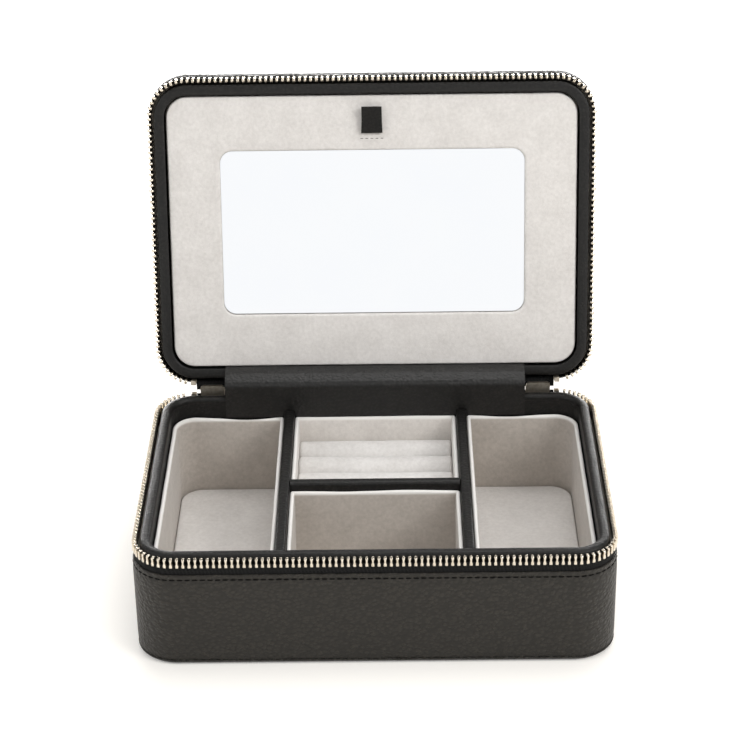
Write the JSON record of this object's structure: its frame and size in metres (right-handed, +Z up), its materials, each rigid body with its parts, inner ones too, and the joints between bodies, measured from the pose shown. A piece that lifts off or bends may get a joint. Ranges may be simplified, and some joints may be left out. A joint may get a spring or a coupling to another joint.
{
  "type": "travel jewelry box",
  "caption": "Zip-round travel jewelry box in leather over board: a mirror panel in the hinged lid, suede trays, leather dividers and foam ring rolls in the base.",
  "frame": {"origin": "centre of the base's underside, on the table", "axes": "+X to the right along the front, +Y to the back, where the hinge is, +Z up"},
  "size_m": [0.2, 0.1882, 0.1928],
  "materials": {
    "case_leather": "black pebbled leather with a soft sheen",
    "trim_leather": "black fine-grained leather, a little smoother than the outside",
    "board": "grey pressed board",
    "suede": "light warm grey microsuede with a short nap",
    "foam": "soft foam and wadding",
    "zip_tape": "black woven zip tape",
    "nickel": "polished warm nickel",
    "mirror": "silvered glass"
  },
  "bodies": {
    "base": {"base_bottom": "case_leather", "base_side_leather": "case_leather", "base_collar_leather": "trim_leather", "left_divider": "trim_leather", "right_divider": "trim_leather", "cross_divider": "trim_leather", "hinge_spine": "trim_leather", "hinge_flap": "trim_leather", "base_shell": "board", "base_collar_board": "board", "left_divider_board": "board", "right_divider_board": "board", "cross_divider_board": "board", "left_liner": "suede", "left_floor_pad": "suede", "right_liner": "suede", "right_floor_pad": "suede", "front_liner": "suede", "front_floor_pad": "suede", "ring_liner": "suede", "ring_roll_1": "suede", "ring_roll_2": "suede", "ring_roll_3": "suede", "ring_roll_4": "suede", "ring_riser": "foam", "base_wadding": "foam", "base_zip_tape": "zip_tape", "base_tape_tails": "zip_tape", "base_zip_teeth": "nickel", "base_zip_stops": "nickel"},
    "lid": {"lid_top_panel": "case_leather", "lid_shell": "board", "lid_side_leather": "case_leather", "lid_collar_board": "board", "lid_collar_leather": "trim_leather", "lid_lining": "suede", "lid_inner_frame": "board", "panel_board": "board", "panel_suede": "suede", "mirror_glass": "mirror", "panel_hinge_strip": "zip_tape", "lid_zip_tape": "zip_tape", "lid_zip_teeth": "nickel", "lid_zip_stops": "nickel", "lid_tape_tails": "zip_tape"},
    "pull_tab": {"pull_tab": "trim_leather"},
    "left_slider": {"left_slider": "nickel"},
    "left_pull": {"left_pull": "nickel"},
    "right_slider": {"right_slider": "nickel"},
    "right_pull": {"right_pull": "nickel"}
  },
  "joints": [
    {"name": "lid_hinge", "type": "hinge", "parent": "base", "child": "lid", "pos_m": [0, 0.071, 0.0545], "axis": [1, 0, 0], "range_deg": [0, 103], "deforming": ["hinge_flap", "hinge_spine", "lid_tape_tails"]},
    {"name": "pull_tab_fold", "type": "hinge", "parent": "lid", "child": "pull_tab", "pos_m": [0, 0.0967, 0.16762], "axis": [1, 0, 0], "range_deg": [0, 80]},
    {"name": "left_slider_slide", "type": "slide", "parent": "base", "child": "left_slider", "axis": [-1, 0, 0], "range_m": [0, 0.0016]},
    {"name": "left_pull_swing", "type": "hinge", "parent": "left_slider", "child": "left_pull", "pos_m": [-0.0747, 0.07665, 0.0506], "axis": [1, 0, 0], "range_deg": [-10, 75]},
    {"name": "right_slider_slide", "type": "slide", "parent": "base", "child": "right_slider", "axis": [1, 0, 0], "range_m": [0, 0.0016]},
    {"name": "right_pull_swing", "type": "hinge", "parent": "right_slider", "child": "right_pull", "pos_m": [0.0747, 0.07665, 0.0506], "axis": [1, 0, 0], "range_deg": [-10, 75]}
  ]
}
